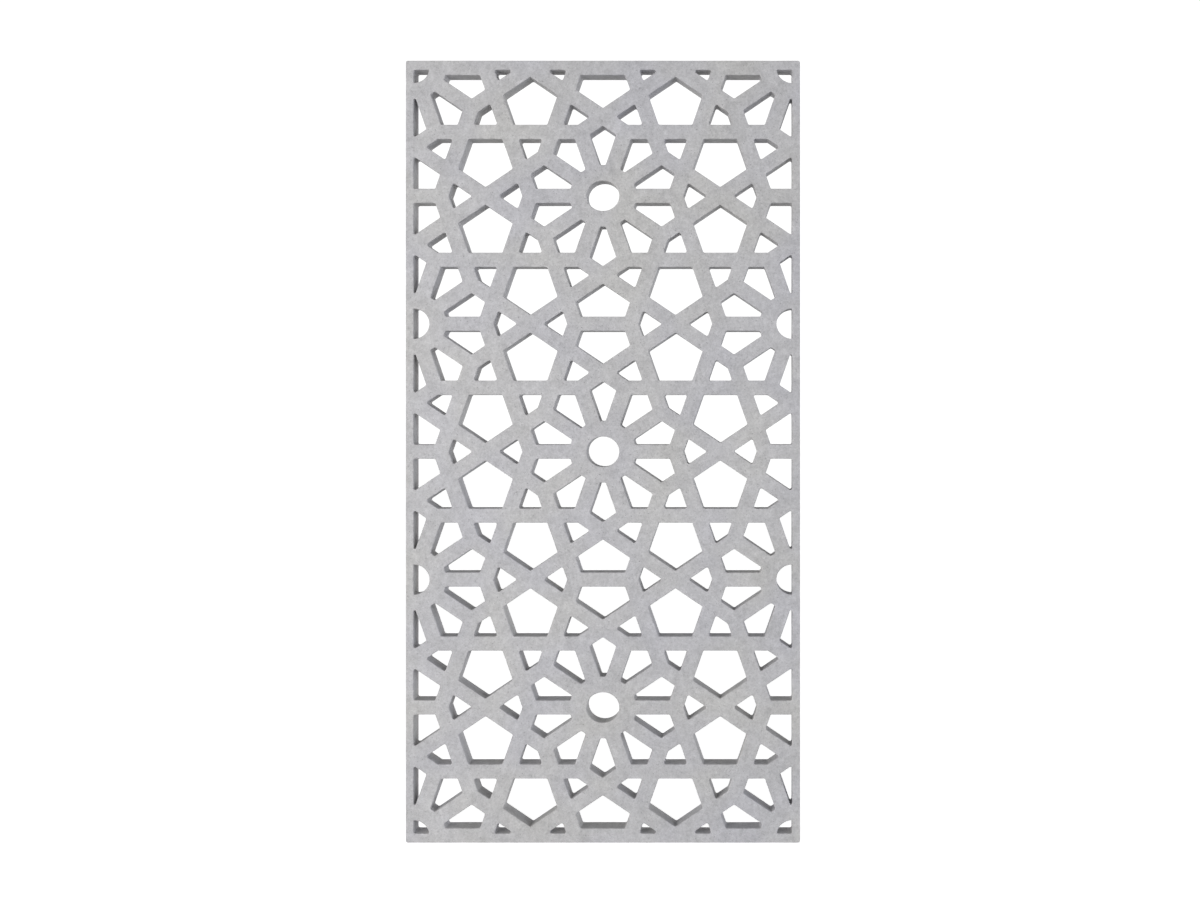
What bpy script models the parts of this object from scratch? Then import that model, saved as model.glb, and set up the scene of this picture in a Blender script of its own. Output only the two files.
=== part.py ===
"""Mashrabiya screen: one flat panel of cast stone, pierced right through by a ten-fold star lattice.

The panel stands upright in the XZ plane, with its face towards -Y. The origin is the middle of its
underside, where it sits in the opening that it is built into. Sizes are in metres, angles in degrees.

The lattice is drawn on a star pattern whose unit is the distance between two neighbouring rosettes.
Each opening is drawn in by half a bar from the pattern's lines. The drawing is then stretched to fit
the panel, so that an upright bar is a little wider than a level one.
"""

from math import cos, pi, radians, sin

import bpy
from mathutils import Vector

# Panel
PANEL_WIDTH = 0.600
PANEL_HEIGHT = 1.190
PANEL_THICKNESS = 0.030
SIDE_BORDER = 0.012
END_BORDER = 0.014
ARRIS = 0.0012

# Lattice: the outermost rosettes are centred ROSETTE_INSET inside the panel's edges, and BAR_WIDTH is
# the width of a level bar
BAR_WIDTH = 0.0218
ROSETTE_INSET = 0.011
REPEATS_ACROSS = 1
REPEATS_UP = 3

# Rosette: a round eye, a solid ring around it, and ten petals
EYE_DIAMETER = 0.046
EYE_RING = 0.024
EYE_SIDES = 24

# Finish
STONE_COLOUR = (0.50, 0.50, 0.51, 1.0)
STONE_ROUGHNESS = 0.85

# Star pattern, in its own unit
PETALS = 10
PETAL_TURN = 360 / PETALS
HALF_TURN = PETAL_TURN / 2
CELL_ACROSS = cos(radians(PETAL_TURN))
CELL_UP = sin(radians(PETAL_TURN))
HALFWAY = 0.5

# One pattern unit on the panel, and the narrowest opening that is cast right through
UNIT_ACROSS = (PANEL_WIDTH / 2 - ROSETTE_INSET) / (REPEATS_ACROSS * CELL_ACROSS)
UNIT_UP = (PANEL_HEIGHT / 2 - ROSETTE_INSET) / (REPEATS_UP * CELL_UP)
NARROWEST_OPENING = BAR_WIDTH / 4


def polar(radius, turn):
    return Vector((radius * cos(radians(turn)), radius * sin(radians(turn))))


def bar_radius(turn):
    """A bar's distance from the rosette that it passes, a turn away from the point where it starts.

    The bars start halfway to each neighbour, PETAL_TURN off the line between the two centres.
    """
    return HALFWAY * sin(radians(PETAL_TURN)) / sin(radians(PETAL_TURN + turn))


# Distances from a rosette's centre, in pattern units
TIP = bar_radius(HALF_TURN)
NOTCH = bar_radius(PETAL_TURN)
PENTAGON_CENTRE = HALFWAY / cos(radians(HALF_TURN))
HALF_BAR = BAR_WIDTH / 2 / UNIT_UP
PETAL_ROOT = (EYE_DIAMETER / 2 + EYE_RING) / UNIT_UP - HALF_BAR

# Corners above and to the right of a rosette, where its second bar passes its neighbours
SHOULDER = polar(HALFWAY, 2 * PETAL_TURN)
BAR_RUN = polar(1, 3 * PETAL_TURN)
WAIST = SHOULDER + BAR_RUN * ((CELL_UP - SHOULDER.y) / BAR_RUN.y)


def petal(turn):
    """One petal of a rosette, from the ring around the eye to the petal's tip."""
    side = PETAL_ROOT / cos(radians(HALF_TURN))
    return [
        polar(side, turn - HALF_TURN),
        polar(NOTCH, turn - HALF_TURN),
        polar(TIP, turn),
        polar(NOTCH, turn + HALF_TURN),
        polar(side, turn + HALF_TURN),
    ]


def kite(turn):
    """The kite between two petals' tips, out to the point halfway to the next rosette."""
    return [
        polar(NOTCH, turn),
        polar(TIP, turn - HALF_TURN),
        polar(HALFWAY, turn),
        polar(TIP, turn + HALF_TURN),
    ]


def pentagon(turn):
    """The regular pentagon that stands on a petal's tip."""
    centre = polar(PENTAGON_CENTRE, turn)
    return [centre + polar(PENTAGON_CENTRE - TIP, turn + 180 + 72 * corner) for corner in range(5)]


def house():
    """The gabled opening above a rosette, up to the level halfway to the next rosette in the column."""
    right = [polar(TIP, 90), SHOULDER, WAIST]
    left = [Vector((-corner.x, corner.y)) for corner in reversed(right[1:])]
    return right + left


def waist_kite():
    """The kite to the right of two houses that meet, out to where two pentagons touch."""
    pentagon_top = pentagon(HALF_TURN + PETAL_TURN)[3]
    return [WAIST, SHOULDER, pentagon_top, Vector((SHOULDER.x, 2 * CELL_UP - SHOULDER.y))]


def turned_round(outline, about):
    """The outline after half a turn about a point."""
    return [2 * about - corner for corner in outline]


def openings_of_rosette():
    """Every straight-sided outline that one rosette brings, counterclockwise around its centre."""
    outlines = []
    for step in range(PETALS):
        outlines.append(kite(step * PETAL_TURN))
        outlines.append(petal(step * PETAL_TURN + HALF_TURN))
    for turn in (-3 * HALF_TURN, -HALF_TURN, HALF_TURN, 3 * HALF_TURN):
        outlines.append(pentagon(turn))
    outlines.append(house())
    outlines.append(turned_round(house(), Vector((0, 0))))
    outlines.append(waist_kite())
    outlines.append(turned_round(waist_kite(), Vector((0, CELL_UP))))
    return outlines


def rosette_centres():
    """The rosettes' centres in pattern units, from the middle one, in staggered rows.

    The row under the panel is there for the openings above it that reach over the lower border.
    """
    return [
        Vector((column * CELL_ACROSS, row * CELL_UP))
        for column in range(-REPEATS_ACROSS, REPEATS_ACROSS + 1)
        for row in range(-REPEATS_UP - 1, REPEATS_UP + 1)
        if (column + row) % 2 == 0
    ]


def on_panel(point):
    """A point of the pattern, in metres on the panel's face."""
    return Vector((point.x * UNIT_ACROSS, PANEL_HEIGHT / 2 + point.y * UNIT_UP))


def cut_behind(outline, point, outward):
    """The part of a convex outline behind the line through a point, square to outward."""
    kept = []
    for here, following in zip(outline, outline[1:] + outline[:1]):
        ahead = (here - point).dot(outward)
        following_ahead = (following - point).dot(outward)
        if ahead <= 0:
            kept.append(here)
        if ahead * following_ahead < 0:
            kept.append(here.lerp(following, ahead / (ahead - following_ahead)))
    return kept


def outward_of(here, following):
    """The outward direction, one long, of an edge of a counterclockwise outline."""
    along = (following - here).normalized()
    return Vector((along.y, -along.x))


def drawn_in(outline, distance):
    """A convex, counterclockwise outline with every edge moved inwards."""
    smaller = outline
    for here, following in zip(outline, outline[1:] + outline[:1]):
        outward = outward_of(here, following)
        smaller = cut_behind(smaller, here - outward * distance, outward)
    return smaller


def inside_border(outline):
    """The part of an opening that the panel's plain border leaves open."""
    half_width = PANEL_WIDTH / 2 - SIDE_BORDER
    for point, outward in (
        (Vector((half_width, 0)), Vector((1, 0))),
        (Vector((-half_width, 0)), Vector((-1, 0))),
        (Vector((0, PANEL_HEIGHT - END_BORDER)), Vector((0, 1))),
        (Vector((0, END_BORDER)), Vector((0, -1))),
    ):
        outline = cut_behind(outline, point, outward)
    return outline


def is_wide_enough(outline):
    """Whether an opening is wide enough, square to each of its edges, to be cast right through."""
    return len(outline) > 2 and all(
        max((here - corner).dot(outward_of(here, following)) for corner in outline) > NARROWEST_OPENING
        for here, following in zip(outline, outline[1:] + outline[:1])
    )


def eye(centre):
    """A rosette's round eye, stretched as the pattern is."""
    stretch = UNIT_ACROSS / UNIT_UP
    corners = [polar(EYE_DIAMETER / 2, 360 * corner / EYE_SIDES) for corner in range(EYE_SIDES)]
    return [on_panel(centre) + Vector((corner.x * stretch, corner.y)) for corner in corners]


def panel_openings():
    """The outline in metres of every opening of the panel."""
    outlines = []
    for centre in rosette_centres():
        outlines.append(eye(centre))
        for outline in openings_of_rosette():
            outlines.append([on_panel(centre + corner) for corner in drawn_in(outline, HALF_BAR)])
    return list(filter(is_wide_enough, map(inside_border, outlines)))


def panel_edge():
    """The panel's own outline."""
    half_width = PANEL_WIDTH / 2
    return [
        Vector((-half_width, 0)),
        Vector((half_width, 0)),
        Vector((half_width, PANEL_HEIGHT)),
        Vector((-half_width, PANEL_HEIGHT)),
    ]


def stone():
    """Pale grey cast stone, dry and matt."""
    material = bpy.data.materials.new("cast_stone")
    material.use_nodes = True
    shader = material.node_tree.nodes["Principled BSDF"]
    shader.inputs["Base Color"].default_value = STONE_COLOUR
    shader.inputs["Roughness"].default_value = STONE_ROUGHNESS
    shader.inputs["Metallic"].default_value = 0.0
    return material


def pierced_plate(name, edge, openings, thickness, arris):
    """A flat plate with openings and eased arrises, standing upright with its face towards -Y."""
    curve = bpy.data.curves.new(name, "CURVE")
    curve.dimensions = "2D"
    curve.fill_mode = "BOTH"
    curve.extrude = thickness / 2 - arris
    curve.bevel_depth = arris
    curve.bevel_resolution = 0
    curve.offset = -arris
    for outline in [edge] + openings:
        spline = curve.splines.new("POLY")
        spline.points.add(len(outline) - 1)
        for point, corner in zip(spline.points, outline):
            point.co = (corner.x, corner.y, 0, 1)
        spline.use_cyclic_u = True
    plate = bpy.data.objects.new(name, curve)
    plate.rotation_euler.x = pi / 2
    bpy.context.collection.objects.link(plate)
    return plate


def clear_scene():
    for leftover in list(bpy.data.objects):
        bpy.data.objects.remove(leftover)


def main():
    clear_scene()
    panel = pierced_plate("lattice_panel", panel_edge(), panel_openings(), PANEL_THICKNESS, ARRIS)
    panel.data.materials.append(stone())


main()
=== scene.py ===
"""Looks of the mashrabiya screen: one panel of cast stone, pierced by a ten-fold star lattice.

The panel stands upright with its face towards -Y. Its openings are drawn on a star pattern whose unit
is the distance between two neighbouring rosettes, drawn in by half a bar and then stretched to fit the
panel. Geometry Nodes turn the outlines into the casting: they round the openings' corners, sweep the
eased edge around every outline and fill both faces, with the small air holes that casting leaves.
"""

import logging
from dataclasses import dataclass, field
from enum import Enum
from math import cos, degrees, pi, radians, sin
from typing import Any, Iterable

import bpy
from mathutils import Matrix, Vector


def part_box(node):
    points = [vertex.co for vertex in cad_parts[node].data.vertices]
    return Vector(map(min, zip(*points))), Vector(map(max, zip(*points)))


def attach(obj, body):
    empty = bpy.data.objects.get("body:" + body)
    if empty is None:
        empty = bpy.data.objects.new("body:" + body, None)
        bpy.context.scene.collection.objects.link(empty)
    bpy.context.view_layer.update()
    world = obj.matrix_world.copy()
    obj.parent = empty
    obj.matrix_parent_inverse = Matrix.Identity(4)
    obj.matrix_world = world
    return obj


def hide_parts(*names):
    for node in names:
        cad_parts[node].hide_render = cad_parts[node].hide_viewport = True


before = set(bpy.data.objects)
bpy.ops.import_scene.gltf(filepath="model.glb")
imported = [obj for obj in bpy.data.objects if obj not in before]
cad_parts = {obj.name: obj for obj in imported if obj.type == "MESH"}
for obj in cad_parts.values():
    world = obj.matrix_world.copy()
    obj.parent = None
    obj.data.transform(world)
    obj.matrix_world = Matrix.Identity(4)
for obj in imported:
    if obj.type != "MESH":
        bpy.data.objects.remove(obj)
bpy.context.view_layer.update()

CAD_NODE = "lattice_panel"
BODY = "root"
WHITE = (1.0, 1.0, 1.0, 1.0)

# A noise texture lies mostly between these levels, so that NOISE_GAIN makes it stray by about one
NOISE_LEVELS = (0.3, 0.7)
NOISE_GAIN = 4.0

# The sizes that the casting's tree hands on to the tree of its faces
PIT_SIZES = ("Pit Spacing", "Pit Small", "Pit Large")

Outline = list[Vector]
Colour = tuple[float, float, float]
Socket = bpy.types.NodeSocket

logger = logging.getLogger("mashrabiya")


def polar(radius: float, turn: float) -> Vector:
    """A point at a distance from the origin.

    Args:
        radius: Distance from the origin.
        turn: Direction in degrees, counterclockwise from +X.

    Returns:
        The point in the plane.
    """
    return Vector((radius * cos(radians(turn)), radius * sin(radians(turn))))


def edges_of(outline: Outline) -> Iterable[tuple[Vector, Vector]]:
    """The edges of a closed outline, as pairs of corners."""
    return zip(outline, outline[1:] + outline[:1])


def outward_of(here: Vector, following: Vector) -> Vector:
    """The outward direction, one long, of an edge of a counterclockwise outline."""
    along = (following - here).normalized()
    return Vector((along.y, -along.x))


def cut_behind(outline: Outline, point: Vector, outward: Vector) -> Outline:
    """Cuts a convex outline along a line.

    Args:
        outline: The corners, counterclockwise.
        point: A point on the line.
        outward: The direction square to the line in which the outline is cut away.

    Returns:
        The corners of what is left behind the line.
    """
    kept = []
    for here, following in edges_of(outline):
        ahead = (here - point).dot(outward)
        following_ahead = (following - point).dot(outward)
        if ahead <= 0:
            kept.append(here)
        if ahead * following_ahead < 0:
            kept.append(here.lerp(following, ahead / (ahead - following_ahead)))
    return kept


def drawn_in(outline: Outline, distance: float) -> Outline:
    """Moves every edge of a convex outline inwards.

    Args:
        outline: The corners, counterclockwise.
        distance: How far each edge moves.

    Returns:
        The corners of the smaller outline.
    """
    smaller = outline
    for here, following in edges_of(outline):
        outward = outward_of(here, following)
        smaller = cut_behind(smaller, here - outward * distance, outward)
    return smaller


def in_scene(name: str, data: bpy.types.ID) -> bpy.types.Object:
    """Puts a mesh, a curve, a light or a camera into the scene.

    Args:
        name: The object's name.
        data: What it holds.

    Returns:
        The new object.
    """
    made = bpy.data.objects.new(name, data)
    bpy.context.collection.objects.link(made)
    return made


class Side(Enum):
    """The two faces of the panel, by the sign of their height over its middle plane."""

    FRONT = 1
    BACK = -1


class Wiring:
    """A node tree under construction, with short calls that add nodes and join them."""

    def __init__(self, tree: bpy.types.NodeTree) -> None:
        """Starts on an empty or ready-made tree."""
        self.tree = tree

    def add(self, kind: str, feeds: dict[str | int, Any] | None = None, **settings: Any) -> bpy.types.Node:
        """Adds one node.

        Args:
            kind: The node's type name.
            feeds: For each input, by name or place, either a socket to link or a plain value.
            settings: The node's own properties.

        Returns:
            The new node.
        """
        node = self.tree.nodes.new(kind)
        for name, value in settings.items():
            setattr(node, name, value)
        self.feed(node, feeds or {})
        return node

    def feed(self, node: bpy.types.Node, feeds: dict[str | int, Any]) -> None:
        """Gives a node its inputs.

        Args:
            node: The node.
            feeds: For each input, by name or place, either a socket to link or a plain value.
        """
        for name, value in feeds.items():
            socket = node.inputs[name]
            if isinstance(value, Socket):
                self.tree.links.new(value, socket)
            else:
                socket.default_value = value

    def math(self, operation: str, *values: Any) -> Socket:
        """The result of one arithmetic step on sockets or numbers."""
        return self.add("ShaderNodeMath", dict(enumerate(values)), operation=operation).outputs[0]

    def vector(self, operation: str, *values: Any) -> Socket:
        """The vector that one step of vector arithmetic gives."""
        return self.add("ShaderNodeVectorMath", dict(enumerate(values)), operation=operation).outputs[0]

    def scaled(self, vector: Any, factor: Any) -> Socket:
        """A vector times a number."""
        node = self.add("ShaderNodeVectorMath", {0: vector, "Scale": factor}, operation="SCALE")
        return node.outputs[0]

    def parts(self, vector: Any) -> Any:
        """A vector's three numbers, under the names X, Y and Z."""
        return self.add("ShaderNodeSeparateXYZ", {0: vector}).outputs

    def span(self, value: Any, low: float, high: float, start: float = 0.0, end: float = 1.0) -> Any:
        """A value stretched from one range to another, and held within it.

        Args:
            value: The socket with the value.
            low: The value that becomes the start.
            high: The value that becomes the end.
            start: The result at low.
            end: The result at high.

        Returns:
            The socket with the result.
        """
        feeds = {"Value": value, "From Min": low, "From Max": high, "To Min": start, "To Max": end}
        return self.add("ShaderNodeMapRange", feeds).outputs["Result"]

    def mixed(self, factor: Any, first: Colour, second: Colour) -> Socket:
        """Mixes two plain colours.

        Args:
            factor: The socket with the second colour's share.
            first: The first colour.
            second: The second colour.

        Returns:
            The socket with the mixed colour.
        """
        mix = self.add("ShaderNodeMix", data_type="RGBA")
        sockets = {socket.identifier: socket for socket in mix.inputs}
        self.tree.links.new(factor, sockets["Factor_Float"])
        sockets["A_Color"].default_value = (*first, 1.0)
        sockets["B_Color"].default_value = (*second, 1.0)
        return next(socket for socket in mix.outputs if socket.identifier == "Result_Color")

    def join(self, *parts: Socket) -> Socket:
        """Joins geometries.

        Args:
            parts: Their sockets, in order.

        Returns:
            The socket with all of them.
        """
        node = self.add("GeometryNodeJoinGeometry")
        for part in parts:
            self.tree.links.new(part, node.inputs[0])
        return node.outputs[0]


class GeometryTree(Wiring):
    """A Geometry Nodes tree with named inputs for its sizes."""

    def __init__(self, name: str, inputs: dict[str, str]) -> None:
        """Makes the empty tree.

        Args:
            name: The tree's name.
            inputs: Each input's name and socket type.
        """
        super().__init__(bpy.data.node_groups.new(name, "GeometryNodeTree"))
        for label, kind in inputs.items():
            self.tree.interface.new_socket(name=label, in_out="INPUT", socket_type=kind)
        self.tree.interface.new_socket(name="Geometry", in_out="OUTPUT", socket_type="NodeSocketGeometry")
        self.given = self.tree.nodes.new("NodeGroupInput").outputs
        self.stored: list[str] = []

    def finish(self, geometry: Socket) -> None:
        """Joins the last geometry to the tree's output."""
        self.add("NodeGroupOutput", {"Geometry": geometry})

    def step(self, kind: str, feeds: dict[str | int, Any] | None = None, **settings: Any) -> Socket:
        """The first output of a new node, whose type name starts with GeometryNode."""
        return self.add(f"GeometryNode{kind}", feeds, **settings).outputs[0]

    def named(self, name: str, kind: str) -> Socket:
        """A stored attribute, read back by name."""
        node = self.add("GeometryNodeInputNamedAttribute", {"Name": name}, data_type=kind)
        return node.outputs["Attribute"]

    def store(self, geometry: Any, name: str, value: Any, kind: str) -> Socket:
        """Stores a value on every point of a geometry.

        Args:
            geometry: The geometry's socket.
            name: The attribute's name.
            value: The socket with the value.
            kind: The attribute's data type.

        Returns:
            The geometry with the attribute.
        """
        self.stored.append(name)
        feeds = {"Geometry": geometry, "Name": name, "Value": value}
        return self.step("StoreNamedAttribute", feeds, data_type=kind, domain="POINT")

    def apply(self, target: bpy.types.Object, values: dict[str, Any]) -> bpy.types.Mesh:
        """Runs the tree on an object and takes the result as a plain mesh.

        Args:
            target: The object that holds the input geometry.
            values: The tree's inputs by name.

        Returns:
            The mesh, free of modifiers and instances.
        """
        modifier = target.modifiers.new(self.tree.name, "NODES")
        modifier.node_group = self.tree
        for item in self.tree.interface.items_tree:
            if item.in_out == "INPUT" and item.name in values:
                modifier[item.identifier] = values[item.name]
        seen = target.evaluated_get(bpy.context.evaluated_depsgraph_get())
        mesh = bpy.data.meshes.new_from_object(seen)
        target.modifiers.remove(modifier)
        for name in self.stored:
            mesh.attributes.remove(mesh.attributes[name])
        return mesh


@dataclass(frozen=True)
class Mottle:
    """One scale of unevenness in the stone's shade: its blotches' size and how far they stray."""

    size: float
    depth: float
    detail: int = 2


@dataclass(frozen=True)
class CastStone:
    """Pale grey cast stone: cement paste clouded by its mixing, with fine sand and air pores.

    Sizes are in metres. Depths and shades are shares of the stone's own brightness, and levels are a
    noise's. The sand's and the pores' relief is in terms of the finest mottle's, and a pore's rim is a
    share of its radius. How far a surface's direction lies along Y tells a face, an eased edge and a
    wall apart: each pair of values says where the one turns into the other.
    """

    name: str = "cast_stone_face"
    warm: Colour = (0.502, 0.496, 0.492)
    cool: Colour = (0.483, 0.479, 0.503)
    tint_size: float = 0.130
    tint_levels: tuple[float, float] = (0.35, 0.65)
    mottles: tuple[Mottle, ...] = (
        Mottle(0.090, 0.035, 3),
        Mottle(0.024, 0.060),
        Mottle(0.009, 0.085),
        Mottle(0.0035, 0.090, 1),
    )
    noise_roughness: float = 0.55
    sand_size: float = 0.0011
    sand_depth: float = 0.050
    speck_share: float = 0.12
    dark_speck: float = 0.80
    pale_speck: float = 1.14
    pore_spacing: float = 0.0038
    pore_share: float = 0.5
    pore_radius: float = 0.0007
    pore_rim: float = 0.25
    # Painted shade inside the air pores, as a share of the stone's brightness
    pore_painted_shade: float = 0.60
    face_to_edge: tuple[float, float] = (0.98, 0.90)
    wall_to_edge: tuple[float, float] = (0.06, 0.20)
    wall_to_face: tuple[float, float] = (0.0, 0.3)
    rubbed_mottle: int = 2
    rubbed_levels: tuple[float, float] = (0.40, 0.62)
    worn_edge_shade: float = 1.12
    # Painted shade on the walls of the openings, as a share of the face's brightness
    opening_wall_painted_shade: float = 0.94
    rough_low: float = 0.78
    rough_high: float = 0.95
    specular: float = 0.35
    relief: float = 0.0003
    relief_strength: float = 0.8
    sand_relief: float = 0.4
    pore_relief: float = 2.0

    def material(self) -> bpy.types.Material:
        """The finish as a node material.

        Returns:
            A material that reads Object coordinates and normals alone.
        """
        material = bpy.data.materials.new(self.name)
        material.use_nodes = True
        wires = Wiring(material.node_tree)
        place = wires.add("ShaderNodeTexCoord")
        at = place.outputs["Object"]
        blotches = [self.noise(wires, at, mottle.size, mottle.detail) for mottle in self.mottles]
        fine = blotches[-1]
        rubbed = blotches[self.rubbed_mottle]
        sand = self.sand(wires, at)
        pores = self.pores(wires, at)
        shade = self.paste_shade(wires, blotches, sand.outputs["Red"])
        shade = wires.math("MULTIPLY", shade, self.specks(wires, sand.outputs["Green"]))
        # Pale rubbed patches on the eased edges are wear; the darker walls of the openings are painted
        # shade
        shade = wires.math("MULTIPLY", shade, self.worn_edges_and_painted_wall_shade(wires, place.outputs["Normal"], rubbed))
        # Painted shade: the air pores are darkened in colour, standing in for the shade inside them
        shade = wires.math("MULTIPLY", shade, wires.span(pores, 0.0, 1.0, 1.0, self.pore_painted_shade))
        tint = wires.span(self.noise(wires, at, self.tint_size), *self.tint_levels)
        grit = wires.math("MULTIPLY_ADD", sand.outputs["Red"], self.sand_relief, fine)
        bump = wires.add("ShaderNodeBump", {
            "Height": wires.math("MULTIPLY_ADD", pores, -self.pore_relief, grit),
            "Distance": self.relief,
            "Strength": self.relief_strength,
        })
        wires.feed(material.node_tree.nodes["Principled BSDF"], {
            "Base Color": wires.scaled(wires.mixed(tint, self.warm, self.cool), shade),
            "Roughness": wires.span(fine, *NOISE_LEVELS, self.rough_low, self.rough_high),
            "Specular IOR Level": self.specular,
            "Normal": bump.outputs["Normal"],
        })
        return material

    def noise(self, wires: Wiring, at: Any, size: float, detail: int = 2) -> Socket:
        """Noise with blotches of a size. More detail adds more of the finer ones."""
        feeds = {"Vector": at, "Scale": 1 / size, "Detail": detail, "Roughness": self.noise_roughness}
        return wires.add("ShaderNodeTexNoise", feeds).outputs["Fac"]

    def sand(self, wires: Wiring, at: Any) -> bpy.types.Node:
        """A node that gives each grain of sand its own random levels from nought to one."""
        grains = wires.add("ShaderNodeTexVoronoi", {"Vector": at, "Scale": 1 / self.sand_size})
        return wires.add("ShaderNodeSeparateColor", {0: grains.outputs["Color"]})

    def specks(self, wires: Wiring, level: Any) -> Socket:
        """The shade of the few grains that are clearly darker or paler than the paste.

        Args:
            wires: The material's nodes.
            level: The random level of each grain.

        Returns:
            The factor that the stone's colour takes.
        """
        dark = wires.span(level, 0.0, self.speck_share, self.dark_speck, 1.0)
        pale = wires.span(level, 1 - self.speck_share, 1.0, 1.0, self.pale_speck)
        return wires.math("MULTIPLY", dark, pale)

    def pores(self, wires: Wiring, at: Any) -> Socket:
        """The small air pores, one of its own size in a share of the cells.

        Args:
            wires: The material's nodes.
            at: The place on the stone.

        Returns:
            One inside the pores and nought around them.
        """
        cells = wires.add("ShaderNodeTexVoronoi", {"Vector": at, "Scale": 1 / self.pore_spacing})
        chance = wires.add("ShaderNodeSeparateColor", {0: cells.outputs["Color"]}).outputs["Green"]
        largest = self.pore_radius / self.pore_spacing
        radius = wires.span(chance, 1 - self.pore_share, 1.0, 0.0, largest)
        inside = wires.math("SUBTRACT", radius, cells.outputs["Distance"])
        return wires.span(inside, 0.0, self.pore_rim * largest)

    def paste_shade(self, wires: Wiring, blotches: list[Any], sand: Any) -> Socket:
        """The brightness of paste and sand, around one.

        Args:
            wires: The material's nodes.
            blotches: The noise of each mottle.
            sand: The random level of each grain.

        Returns:
            The factor that the stone's colour takes.
        """
        middle = 1 - NOISE_GAIN / 2 * sum(mottle.depth for mottle in self.mottles) - self.sand_depth
        shade = wires.math("MULTIPLY_ADD", sand, 2 * self.sand_depth, middle)
        for mottle, blotch in zip(self.mottles, blotches):
            shade = wires.math("MULTIPLY_ADD", blotch, NOISE_GAIN * mottle.depth, shade)
        return shade

    def worn_edges_and_painted_wall_shade(self, wires: Wiring, normal: Any, patches: Any) -> Socket:
        """The brightness that a surface owes to where it is on the casting.

        The eased edges, which face neither along Y nor square to it, are rubbed pale in patches, which is
        wear.
        The walls of the openings are painted a little darker than the faces, which is painted shade.

        Args:
            wires: The material's nodes.
            normal: The surface's direction.
            patches: The noise that says where the edges are rubbed.

        Returns:
            The factor that the stone's colour takes.
        """
        along = wires.math("ABSOLUTE", wires.parts(normal)["Y"])
        off_face = wires.span(along, *self.face_to_edge)
        off_wall = wires.span(along, *self.wall_to_edge)
        on_edge = wires.math("MULTIPLY", off_face, off_wall)
        rubbed = wires.math("MULTIPLY", on_edge, wires.span(patches, *self.rubbed_levels))
        # Painted shade: the walls of the openings are darkened in colour, standing in for the shade inside
        # them
        shade = wires.span(along, *self.wall_to_face, self.opening_wall_painted_shade, 1.0)
        return wires.math("MULTIPLY", shade, wires.span(rubbed, 0.0, 1.0, 1.0, self.worn_edge_shade))


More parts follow.
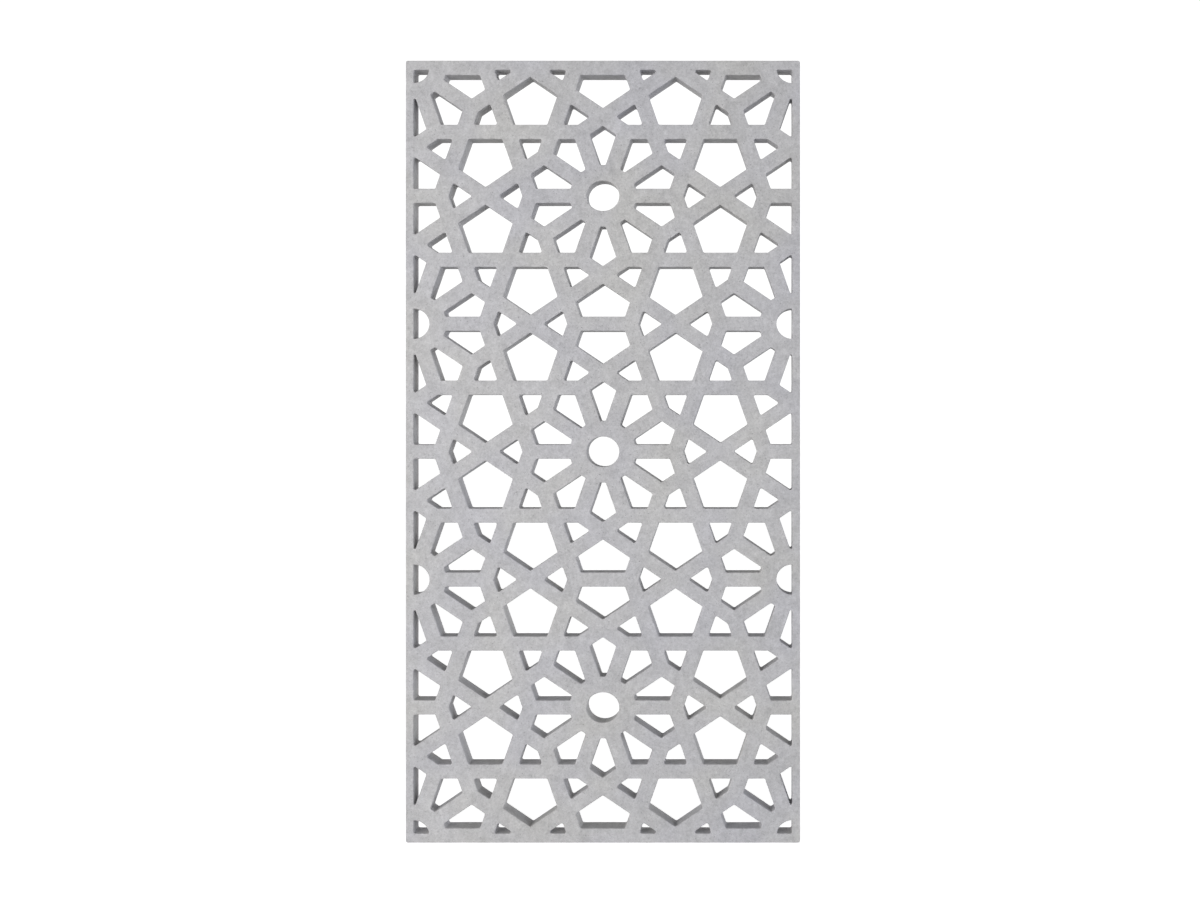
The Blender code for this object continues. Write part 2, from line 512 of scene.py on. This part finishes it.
@dataclass(frozen=True)
class StarPattern:
    """The ten-fold star pattern, in units of the distance between two neighbouring rosettes."""

    petals: int = 10
    halfway: float = 0.5

    @property
    def petal_turn(self) -> float:
        """The turn from one petal to the next, in degrees."""
        return 360 / self.petals

    @property
    def half_turn(self) -> float:
        """Half the turn between two petals."""
        return self.petal_turn / 2

    @property
    def cell(self) -> Vector:
        """The step across and up from a rosette to its diagonal neighbour."""
        return polar(1, self.petal_turn)

    def bar_radius(self, turn: float) -> float:
        """A bar's distance from the rosette that it passes.

        The bars start halfway to each neighbour, one petal's turn off the line between the centres.

        Args:
            turn: The turn in degrees, seen from the rosette, away from the point where the bar starts.

        Returns:
            The distance from the rosette's centre.
        """
        return self.halfway * sin(radians(self.petal_turn)) / sin(radians(self.petal_turn + turn))

    @property
    def tip(self) -> float:
        """Distance of a petal's tip from the rosette's centre."""
        return self.bar_radius(self.half_turn)

    @property
    def notch(self) -> float:
        """Distance of the notch between two petals from the rosette's centre."""
        return self.bar_radius(self.petal_turn)

    @property
    def shoulder(self) -> Vector:
        """The corner above and to the right of a rosette, where a bar passes its upper neighbour."""
        return polar(self.halfway, 2 * self.petal_turn)

    @property
    def waist(self) -> Vector:
        """The corner where two bars cross, level with the point halfway up to the next rosette."""
        run = polar(1, 3 * self.petal_turn)
        return self.shoulder + run * ((self.cell.y - self.shoulder.y) / run.y)

    def petal(self, turn: float, root: float) -> Outline:
        """One petal.

        Args:
            turn: The petal's direction in degrees.
            root: The distance of its inner end from the rosette's centre.

        Returns:
            The petal's five corners.
        """
        side = root / cos(radians(self.half_turn))
        return [
            polar(side, turn - self.half_turn),
            polar(self.notch, turn - self.half_turn),
            polar(self.tip, turn),
            polar(self.notch, turn + self.half_turn),
            polar(side, turn + self.half_turn),
        ]

    def kite(self, turn: float) -> Outline:
        """The kite between two petals' tips, out to the point halfway to the next rosette."""
        return [
            polar(self.notch, turn),
            polar(self.tip, turn - self.half_turn),
            polar(self.halfway, turn),
            polar(self.tip, turn + self.half_turn),
        ]

    def pentagon(self, turn: float) -> Outline:
        """The regular pentagon that stands on a petal's tip.

        Args:
            turn: The petal's direction in degrees.

        Returns:
            The pentagon's corners, from the one at the tip.
        """
        sides = 5
        distance = self.halfway / cos(radians(self.half_turn))
        turns = [turn + 180 + 360 / sides * corner for corner in range(sides)]
        return [polar(distance, turn) + polar(distance - self.tip, around) for around in turns]

    def house(self) -> Outline:
        """The gabled opening above a rosette, up to halfway to the next rosette in the column."""
        right = [polar(self.tip, 90), self.shoulder, self.waist]
        return right + [Vector((-corner.x, corner.y)) for corner in reversed(right[1:])]

    def waist_kite(self) -> Outline:
        """The kite to the right of two houses that meet, out to where two pentagons touch.

        Returns:
            The kite's corners, counterclockwise.
        """
        pentagon_top = self.pentagon(3 * self.half_turn)[3]
        mirrored = Vector((self.shoulder.x, 2 * self.cell.y - self.shoulder.y))
        return [self.waist, self.shoulder, pentagon_top, mirrored]

    def around_rosette(self, root: float) -> list[Outline]:
        """Every straight-sided opening that one rosette brings.

        Args:
            root: The distance of the petals' inner ends from the rosette's centre.

        Returns:
            The outlines, counterclockwise, around a rosette at the origin.
        """
        turns = [step * self.petal_turn for step in range(self.petals)]
        outlines = [self.kite(turn) for turn in turns]
        outlines += [self.petal(turn + self.half_turn, root) for turn in turns]
        outlines += [self.pentagon(side * self.half_turn) for side in (-3, -1, 1, 3)]
        middle = Vector((0, self.cell.y))
        outlines += [self.house(), [-corner for corner in self.house()]]
        outlines += [self.waist_kite(), [2 * middle - corner for corner in self.waist_kite()]]
        return outlines

    def rosettes(self, across: int, up: int) -> list[Vector]:
        """The rosettes' centres in staggered rows.

        The row under the panel is there for the openings above it that reach over the lower border.

        Args:
            across: Columns of rosettes on each side of the middle one.
            up: Rows of rosettes above the middle one.

        Returns:
            The centres, from the middle rosette at the origin.
        """
        return [
            Vector((column * self.cell.x, row * self.cell.y))
            for column in range(-across, across + 1)
            for row in range(-up - 1, up + 1)
            if (column + row) % 2 == 0
        ]


@dataclass
class PiercedCasting:
    """The whole screen: a plain border and a star lattice, cast as one panel.

    Its outer size is the CAD node's. The other sizes are the mould's, in metres. The bar's width is
    that of a level bar: the pattern is stretched across, and an upright bar is wider with it. The
    least corner, in degrees, tells an outline's corners from the points of an arc. A pit is an air
    hole in a face: its depth is a share of its own radius, its margin is in radii of the largest pit,
    and pits are picked from as many spots to the square metre as their density says.
    """

    finish: CastStone
    pattern: StarPattern = field(default_factory=StarPattern)
    bar_width: float = 0.0218
    side_border: float = 0.012
    end_border: float = 0.014
    rosette_inset: float = 0.011
    repeats_across: int = 1
    repeats_up: int = 3
    eye_diameter: float = 0.046
    eye_ring: float = 0.024
    eye_sides: int = 64
    opening_corner: float = 0.0024
    least_corner: float = 20.0
    panel_corner: float = 0.0030
    corner_steps: int = 4
    front_arris: float = 0.0014
    back_arris: float = 0.0012
    front_arris_steps: int = 3
    back_arris_steps: int = 2
    point_spacing: float = 0.008
    wear_patch: float = 0.030
    wear_depth: float = 0.22
    pit_spacing: float = 0.016
    pit_small: float = 0.0004
    pit_large: float = 0.0013
    pit_rarity: float = 3.0
    pit_depth: float = 0.7
    pit_margin: float = 1.6
    pit_density: float = 6000.0
    pit_sides: int = 8
    weld_distance: float = 0.00001
    seed: int = 7

    def __post_init__(self) -> None:
        """Takes the panel's outer size from the CAD node."""
        low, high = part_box(CAD_NODE)
        self.width = high.x - low.x
        self.thickness = high.y - low.y
        self.height = high.z - low.z

    @property
    def unit(self) -> Vector:
        """One pattern unit on the panel.

        Returns:
            Its length in metres across and up.
        """
        half = Vector((self.width / 2 - self.rosette_inset, self.height / 2 - self.rosette_inset))
        cell = self.pattern.cell
        return Vector((half.x / (self.repeats_across * cell.x), half.y / (self.repeats_up * cell.y)))

    @property
    def narrowest_opening(self) -> float:
        """The width that an opening must pass to be cast right through."""
        return self.bar_width / 4

    def on_panel(self, point: Vector) -> Vector:
        """A point of the pattern, in metres on the panel's face."""
        return Vector((point.x * self.unit.x, self.height / 2 + point.y * self.unit.y))

    def inside_border(self, outline: Outline) -> Outline:
        """Cuts off what reaches over the panel's plain border.

        Args:
            outline: An opening's corners.

        Returns:
            The corners of the part that the border leaves open.
        """
        half_width = self.width / 2 - self.side_border
        for point, outward in (
            (Vector((half_width, 0)), Vector((1, 0))),
            (Vector((-half_width, 0)), Vector((-1, 0))),
            (Vector((0, self.height - self.end_border)), Vector((0, 1))),
            (Vector((0, self.end_border)), Vector((0, -1))),
        ):
            outline = cut_behind(outline, point, outward)
        return outline

    def is_wide_enough(self, outline: Outline) -> bool:
        """Whether an opening is wide enough, square to each of its edges, to be cast right through."""
        return len(outline) > 2 and all(
            max((here - corner).dot(outward_of(here, following)) for corner in outline)
            > self.narrowest_opening
            for here, following in edges_of(outline)
        )

    def cast_through(self, outlines: Iterable[Outline]) -> list[Outline]:
        """What the border leaves of the openings, without those that are too narrow."""
        return list(filter(self.is_wide_enough, map(self.inside_border, outlines)))

    def rosettes(self) -> list[Vector]:
        """The rosettes' centres in pattern units."""
        return self.pattern.rosettes(self.repeats_across, self.repeats_up)

    def eye(self, centre: Vector) -> Outline:
        """A rosette's round eye, stretched as the pattern is.

        Args:
            centre: The rosette's centre in pattern units.

        Returns:
            The eye's rim in metres.
        """
        stretch = self.unit.x / self.unit.y
        turns = [360 * corner / self.eye_sides for corner in range(self.eye_sides)]
        rim = [polar(self.eye_diameter / 2, turn) for turn in turns]
        return [self.on_panel(centre) + Vector((corner.x * stretch, corner.y)) for corner in rim]

    def lattice_openings(self) -> list[Outline]:
        """The straight-sided openings of the lattice.

        Returns:
            The outlines in metres.
        """
        half_bar = self.bar_width / 2
        root = (self.eye_diameter / 2 + self.eye_ring - half_bar) / self.unit.y
        outlines = self.pattern.around_rosette(root)
        around = [drawn_in(outline, half_bar / self.unit.y) for outline in outlines]
        return self.cast_through(
            [self.on_panel(centre + corner) for corner in outline]
            for centre in self.rosettes()
            for outline in around
        )

    def eyes(self) -> list[Outline]:
        """The rosettes' eyes in metres, cut off by the border where they reach over it."""
        return self.cast_through(map(self.eye, self.rosettes()))

    def panel_edge(self) -> Outline:
        """The panel's own outline, clockwise, so that the stone lies to the right of it as well."""
        half_width = self.width / 2
        return [
            Vector((-half_width, 0)),
            Vector((-half_width, self.height)),
            Vector((half_width, self.height)),
            Vector((half_width, 0)),
        ]

    def section(self) -> Outline:
        """The cut through the panel's edge, in units of the arris, one unit of wall beyond each arris.

        Returns:
            Points from the face at +Y, over both arrises and the wall at -X, to the face at -Y.
        """
        front = [90 + 90 * step / self.front_arris_steps for step in range(self.front_arris_steps + 1)]
        back = [180 + 90 * step / self.back_arris_steps for step in range(self.back_arris_steps + 1)]
        upper = [Vector((0, Side.FRONT.value)) + polar(1, turn) for turn in front]
        lower = [Vector((0, Side.BACK.value)) + polar(1, turn) for turn in back]
        return upper + lower

    def is_corner(self, outline: Outline, index: int) -> bool:
        """Whether a closed outline turns sharply at one of its points, as it does not along an arc."""
        before, here, after = (outline[(index + step) % len(outline)] for step in (-1, 0, 1))
        return degrees((here - before).angle(after - here)) > self.least_corner

    def drawn(self, name: str, groups: list[tuple[list[Outline], float]], closed: bool) -> bpy.types.Object:
        """Draws outlines as one curve object in the XY plane.

        Args:
            name: The object's name.
            groups: Lists of outlines, each with the radius that its corners are rounded by.
            closed: Whether the outlines are closed.

        Returns:
            The curve object, whose points' radius is their corner's rounding.
        """
        curve = bpy.data.curves.new(name, "CURVE")
        curve.dimensions = "3D"
        for outlines, rounding in groups:
            for outline in outlines:
                spline = curve.splines.new("POLY")
                spline.points.add(len(outline) - 1)
                for index, (point, corner) in enumerate(zip(spline.points, outline)):
                    point.co = (corner.x, corner.y, 0, 1)
                    point.radius = rounding if self.is_corner(outline, index) else 0.0
                spline.use_cyclic_u = closed
        return in_scene(name, curve)

    def pitted_face(self) -> GeometryTree:
        """The tree that fills a face between its outlines and sinks small air holes into it.

        Returns:
            The tree. It works in the XY plane, with the holes sunk towards -Z.
        """
        tree = GeometryTree("pitted_face", {
            "Rims": "NodeSocketGeometry",
            **dict.fromkeys(PIT_SIZES, "NodeSocketFloat"),
            "Seed": "NodeSocketInt",
        })
        given = tree.given
        rims = tree.step("Transform", {"Geometry": given["Rims"], "Scale": (1.0, 1.0, 0.0)})
        spots = self.pit_spots(tree, rims)
        chance = tree.add("FunctionNodeRandomValue", {"Seed": given["Seed"]}, data_type="FLOAT").outputs[1]
        share = tree.math("POWER", chance, self.pit_rarity)
        reach = tree.math("SUBTRACT", given["Pit Large"], given["Pit Small"])
        size = tree.math("MULTIPLY_ADD", share, reach, given["Pit Small"])
        placed = [
            tree.step("InstanceOnPoints", {"Points": spots, "Instance": shape, "Scale": size})
            for shape in self.pit_shapes(tree)
        ]
        rings, bowls = (tree.step("RealizeInstances", {"Geometry": copies}) for copies in placed)
        pierced = tree.step("FillCurve", {"Curve": tree.join(rims, rings)}, mode="TRIANGLES")
        flat = tree.step("SetShadeSmooth", {"Geometry": pierced, "Shade Smooth": False})
        tree.finish(tree.join(flat, bowls))
        return tree

    def pit_spots(self, tree: GeometryTree, rims: Any) -> Socket:
        """Scatters the air holes' middles over a face, clear of its rims.

        Args:
            tree: The face's tree.
            rims: The face's outlines.

        Returns:
            The points.
        """
        given = tree.given
        plain = tree.step("FillCurve", {"Curve": rims}, mode="TRIANGLES")
        spots = tree.step("DistributePointsOnFaces", {
            "Mesh": plain,
            "Distance Min": given["Pit Spacing"],
            "Density Max": self.pit_density,
            "Seed": given["Seed"],
        }, distribute_method="POISSON")
        wire = tree.step("CurveToMesh", {"Curve": rims})
        near = tree.add("GeometryNodeProximity", {0: wire}, target_element="EDGES").outputs["Distance"]
        margin = tree.math("MULTIPLY", given["Pit Large"], self.pit_margin)
        crowded = tree.math("LESS_THAN", near, margin)
        return tree.step("DeleteGeometry", {"Geometry": spots, "Selection": crowded}, domain="POINT")

    def pit_shapes(self, tree: GeometryTree) -> tuple[Socket, Socket]:
        """An air hole of radius one: the ring that it cuts out of the face, and its bowl.

        The bowl is the lower half of a ball, kept up to the ring of points around its middle.

        Args:
            tree: The face's tree.

        Returns:
            The ring, and the bowl with its inside outwards.
        """
        above_middle = 0.1
        sides = self.pit_sides
        ring = tree.step("CurvePrimitiveCircle", {"Resolution": sides, "Radius": 1.0}, mode="RADIUS")
        ball = tree.step("MeshUVSphere", {"Segments": sides, "Rings": sides // 2, "Radius": 1.0})
        upper = tree.math("GREATER_THAN", tree.parts(tree.step("InputPosition"))["Z"], above_middle)
        half = tree.step("DeleteGeometry", {"Geometry": ball, "Selection": upper}, domain="POINT")
        bowl = tree.step("Transform", {"Geometry": half, "Scale": (1.0, 1.0, self.pit_depth)})
        return ring, tree.step("FlipFaces", {"Mesh": bowl})

    def casting_tree(self, face: GeometryTree) -> GeometryTree:
        """The tree that turns the outlines into the casting.

        Args:
            face: The tree that fills a face.

        Returns:
            The tree. Its result stands upright, with its face towards -Y.
        """
        sizes = ("Thickness", "Front Arris", "Back Arris", "Point Spacing", "Wear Patch", "Wear Depth")
        tree = GeometryTree("pierced_casting", {
            "Outlines": "NodeSocketGeometry",
            "Section": "NodeSocketObject",
            **dict.fromkeys(sizes + PIT_SIZES, "NodeSocketFloat"),
            "Corner Steps": "NodeSocketInt",
            "Seed": "NodeSocketInt",
            "Material": "NodeSocketMaterial",
        })
        walls = self.swept_walls(tree)
        faces = [self.closed_face(tree, face, walls, side) for side in Side]
        shell = tree.step("MergeByDistance", {
            "Geometry": tree.join(walls, *faces),
            "Distance": self.weld_distance,
        })
        upright = tree.step("Transform", {"Geometry": shell, "Rotation": (pi / 2, 0.0, 0.0)})
        real = tree.step("RealizeInstances", {"Geometry": upright})
        tree.finish(tree.step("SetMaterial", {"Geometry": real, "Material": tree.given["Material"]}))
        return tree

    def swept_walls(self, tree: GeometryTree) -> Socket:
        """Sweeps the eased edge around every outline.

        Args:
            tree: The casting's tree.

        Returns:
            The walls of all openings and of the panel's edge, from face to face.
        """
        rail = self.rail(tree)
        drawn = tree.add("GeometryNodeObjectInfo", {"Object": tree.given["Section"]}).outputs["Geometry"]
        profile = tree.store(drawn, "section", tree.step("InputPosition"), "FLOAT_VECTOR")
        swept = tree.step("CurveToMesh", {"Curve": rail, "Profile Curve": profile})
        moved = tree.step("SetPosition", {"Geometry": swept, "Position": self.wall_place(tree)})
        outwards = tree.step("FlipFaces", {"Mesh": moved})
        return tree.step("SetShadeSmooth", {"Geometry": outwards})

    def rail(self, tree: GeometryTree) -> Socket:
        """The outlines with rounded corners, for the walls' section to be swept along.

        Args:
            tree: The casting's tree.

        Returns:
            The curves, whose points hold their place, the direction into the stone and their wear.
        """
        given = tree.given
        rail = tree.step("FilletCurve", {
            "Curve": given["Outlines"],
            "Radius": tree.step("InputRadius"),
            "Count": given["Corner Steps"],
            "Limit Radius": True,
        }, mode="POLY")
        here = tree.step("InputPosition")
        there = tree.step("FieldAtIndex", {
            "Index": tree.add("GeometryNodeOffsetPointInCurve", {"Offset": 1}).outputs["Point Index"],
            "Value": here,
        }, data_type="FLOAT_VECTOR", domain="POINT")
        run = tree.add("ShaderNodeVectorMath", {0: here, 1: there}, operation="DISTANCE").outputs["Value"]
        cuts = tree.math("FLOOR", tree.math("DIVIDE", run, given["Point Spacing"]))
        rail = tree.step("SubdivideCurve", {"Curve": rail, "Cuts": cuts})
        into_stone = tree.vector("CROSS_PRODUCT", tree.step("InputTangent"), (0.0, 0.0, 1.0))
        rail = tree.store(rail, "wall_point", here, "FLOAT_VECTOR")
        rail = tree.store(rail, "into_stone", into_stone, "FLOAT_VECTOR")
        return tree.store(rail, "wear", self.wear(tree, here), "FLOAT")

    def wear(self, tree: GeometryTree, here: Any) -> Socket:
        """The unevenness of the eased edges, in patches.

        Args:
            tree: The casting's tree.
            here: The place on the rail.

        Returns:
            How wide the eased edge is there, as a share of its usual width.
        """
        patches = tree.add("ShaderNodeTexNoise", {
            "Vector": here,
            "Scale": tree.math("DIVIDE", 1.0, tree.given["Wear Patch"]),
            "Detail": 1.0,
        }).outputs["Fac"]
        swing = tree.span(patches, *NOISE_LEVELS, -1.0, 1.0)
        return tree.math("ADD", tree.math("MULTIPLY", swing, tree.given["Wear Depth"]), 1.0)

    def wall_place(self, tree: GeometryTree) -> Socket:
        """Where each point of the swept walls belongs, by its place in the section and its wear.

        Args:
            tree: The casting's tree.

        Returns:
            The position, in from the outline by the arris and out to the face on its side.
        """
        given = tree.given
        section = tree.parts(tree.named("section", "FLOAT_VECTOR"))
        side = tree.math("SIGN", section["Y"])
        is_front = tree.math("GREATER_THAN", side, 0.0)
        extra = tree.math("SUBTRACT", given["Front Arris"], given["Back Arris"])
        arris = tree.math("MULTIPLY_ADD", is_front, extra, given["Back Arris"])
        arris = tree.math("MULTIPLY", arris, tree.named("wear", "FLOAT"))
        half = tree.math("MULTIPLY", given["Thickness"], 0.5)
        wall_end = tree.math("MULTIPLY", side, tree.math("SUBTRACT", half, arris))
        past_wall = tree.math("SUBTRACT", section["Y"], side)
        height = tree.math("MULTIPLY_ADD", past_wall, arris, wall_end)
        inset = tree.math("MULTIPLY", arris, tree.math("ADD", section["X"], 1.0))
        inwards = tree.scaled(tree.named("into_stone", "FLOAT_VECTOR"), inset)
        place = tree.vector("ADD", tree.named("wall_point", "FLOAT_VECTOR"), inwards)
        return tree.vector("ADD", place, tree.add("ShaderNodeCombineXYZ", {"Z": height}).outputs[0])

    def closed_face(self, tree: GeometryTree, face: GeometryTree, walls: Socket, side: Side) -> Socket:
        """Fills one face between the walls' free edges, which have fewer than two faces.

        Args:
            tree: The casting's tree.
            face: The tree that fills a face.
            walls: The swept walls.
            side: Which face is filled.

        Returns:
            The face in its place, turned outwards.
        """
        given = tree.given
        count = tree.step("InputMeshEdgeNeighbors")
        height = tree.parts(tree.step("InputPosition"))["Z"]
        is_free = tree.math("LESS_THAN", count, 2.0)
        is_this_side = tree.math("GREATER_THAN", tree.math("MULTIPLY", height, side.value), 0.0)
        on_rim = tree.math("MULTIPLY", is_free, is_this_side)
        outwards = tree.step("Group", {
            "Rims": tree.step("MeshToCurve", {"Mesh": walls, "Selection": on_rim}),
            "Seed": tree.math("ADD", given["Seed"], side.value),
            **{name: given[name] for name in PIT_SIZES},
        }, node_tree=face.tree)
        if side is Side.BACK:
            outwards = tree.step("FlipFaces", {"Mesh": outwards})
        lift = tree.math("MULTIPLY", given["Thickness"], side.value / 2)
        return tree.step("Transform", {
            "Geometry": outwards,
            "Translation": tree.add("ShaderNodeCombineXYZ", {"Z": lift}).outputs[0],
            "Scale": (1.0, 1.0, side.value),
        })

    def build(self) -> bpy.types.Object:
        """Makes the casting, dresses it and puts it in the CAD node's place.

        Returns:
            The finished piece.
        """
        outlines = self.drawn("casting_outlines", [
            (self.lattice_openings() + self.eyes(), self.opening_corner),
            ([self.panel_edge()], self.panel_corner),
        ], closed=True)
        section = self.drawn("edge_section", [([self.section()], 1.0)], closed=False)
        tree = self.casting_tree(self.pitted_face())
        mesh = tree.apply(outlines, {
            "Section": section,
            "Thickness": self.thickness,
            "Front Arris": self.front_arris,
            "Back Arris": self.back_arris,
            "Corner Steps": self.corner_steps,
            "Point Spacing": self.point_spacing,
            "Wear Patch": self.wear_patch,
            "Wear Depth": self.wear_depth,
            "Pit Spacing": self.pit_spacing,
            "Pit Small": self.pit_small,
            "Pit Large": self.pit_large,
            "Seed": self.seed,
            "Material": self.finish.material(),
        })
        for drawing in (outlines, section):
            bpy.data.objects.remove(drawing)
        piece = in_scene("screen_casting", mesh)
        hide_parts(CAD_NODE)
        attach(piece, BODY)
        return piece


@dataclass(frozen=True)
class Softbox:
    """One soft studio light, aimed at the middle of the screen."""

    name: str
    place: tuple[float, float, float]
    size: float
    power: float
    colour: Colour = (1.0, 1.0, 1.0)

    def build(self, aim: Vector) -> bpy.types.Object:
        """Hangs the light and points it.

        Args:
            aim: The point that the light faces.

        Returns:
            The light's object.
        """
        light = bpy.data.lights.new(self.name, "AREA")
        light.shape = "DISK"
        light.size = self.size
        light.energy = self.power
        light.color = self.colour
        lamp = in_scene(self.name, light)
        lamp.location = self.place
        lamp.rotation_euler = (aim - lamp.location).to_track_quat("-Z", "Y").to_euler()
        lamp.visible_camera = False
        return lamp


@dataclass
class Studio:
    """A pale floor, soft light and the camera that looks at the screen as the photograph does.

    The camera stands to the right of the screen and level with its middle, and looks straight along +Y.
    Its lens is shifted, so the screen is not foreshortened although it is left of the lens's axis.
    """

    image_width: int = 1200
    image_height: int = 900
    sensor: float = 36.0
    distance: float = 1.82
    metres_per_pixel: float = 0.0015209
    screen_middle_px: tuple[float, float] = (602.8, 451.7)
    axis_px: tuple[float, float] = (745.0, 414.0)
    floor_size: float = 60.0
    floor_colour: Colour = (0.80, 0.80, 0.80)
    floor_roughness: float = 0.9
    floor_glow: float = 0.78
    white: float = 1.08
    gloom: float = 0.05
    band_white: float = 0.33
    band_end: float = 0.66
    lights: tuple[Softbox, ...] = (
        Softbox("key_softbox", (-1.30, -1.65, 0.55), 1.0, 17.3, (1.0, 0.99, 0.97)),
        Softbox("fill_softbox", (3.0, -1.9, 0.40), 1.2, 18.0, (0.78, 0.86, 1.0)),
    )

    def camera(self, low: Vector, high: Vector) -> bpy.types.Object:
        """Sets up the camera from the photograph's scale and vanishing point.

        Args:
            low: The screen's lowest corner.
            high: The screen's highest corner.

        Returns:
            The camera's object, which is made the scene's own.
        """
        data = bpy.data.cameras.new("photo_view")
        data.sensor_width = self.sensor
        data.lens = self.sensor * self.distance / (self.image_width * self.metres_per_pixel)
        data.shift_x = (self.image_width / 2 - self.axis_px[0]) / self.image_width
        data.shift_y = (self.axis_px[1] - self.image_height / 2) / self.image_width
        camera = in_scene("photo_view", data)
        aside = (self.axis_px[0] - self.screen_middle_px[0]) * self.metres_per_pixel
        above = (self.screen_middle_px[1] - self.axis_px[1]) * self.metres_per_pixel
        middle = (low + high) / 2
        camera.location = (middle.x + aside, low.y - self.distance, middle.z + above)
        camera.rotation_euler = (pi / 2, 0.0, 0.0)
        bpy.context.scene.camera = camera
        return camera

    def floor(self) -> bpy.types.Object:
        """The plain pale floor, which glows faintly so that it stays pale without light from above.

        Returns:
            The floor's object.
        """
        half = self.floor_size / 2
        mesh = bpy.data.meshes.new("studio_floor")
        corners = [(-half, -half, 0), (half, -half, 0), (half, half, 0), (-half, half, 0)]
        mesh.from_pydata(corners, [], [(0, 1, 2, 3)])
        material = bpy.data.materials.new("studio_floor")
        material.use_nodes = True
        Wiring(material.node_tree).feed(material.node_tree.nodes["Principled BSDF"], {
            "Base Color": (*self.floor_colour, 1.0),
            "Roughness": self.floor_roughness,
            "Emission Color": WHITE,
            "Emission Strength": self.floor_glow,
        })
        mesh.materials.append(material)
        floor = in_scene("studio_floor", mesh)
        floor.visible_diffuse = False
        return floor

    def surroundings(self) -> bpy.types.World:
        """White around the horizon, and dim overhead and underfoot, so that the openings stay dark.

        Returns:
            The world, which is made the scene's own.
        """
        world = bpy.data.worlds.new("studio_world")
        world.use_nodes = True
        wires = Wiring(world.node_tree)
        toward = wires.add("ShaderNodeTexCoord").outputs["Generated"]
        glow = wires.add("ShaderNodeMapRange", {
            "Value": wires.math("ABSOLUTE", wires.parts(toward)["Z"]),
            "From Min": self.band_white,
            "From Max": self.band_end,
            "To Min": self.white,
            "To Max": self.gloom,
        }, interpolation_type="SMOOTHSTEP").outputs["Result"]
        wires.feed(world.node_tree.nodes["Background"], {"Color": WHITE, "Strength": glow})
        bpy.context.scene.world = world
        return world

    def build(self) -> None:
        """Sets up floor, light and camera, and shows white as white."""
        low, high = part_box(CAD_NODE)
        self.camera(low, high)
        self.floor()
        self.surroundings()
        for softbox in self.lights:
            softbox.build((low + high) / 2)
        bpy.context.scene.view_settings.view_transform = "Standard"


def main() -> None:
    """Builds the studio and the screen, and reports each piece."""
    logging.basicConfig(level=logging.INFO, format="%(name)s: %(message)s")
    Studio().build()
    logger.info("studio ready")
    piece = PiercedCasting(finish=CastStone()).build()
    piece.data.calc_loop_triangles()
    logger.info("%s: %d triangles", piece.name, len(piece.data.loop_triangles))


if __name__ == "__main__":
    main()
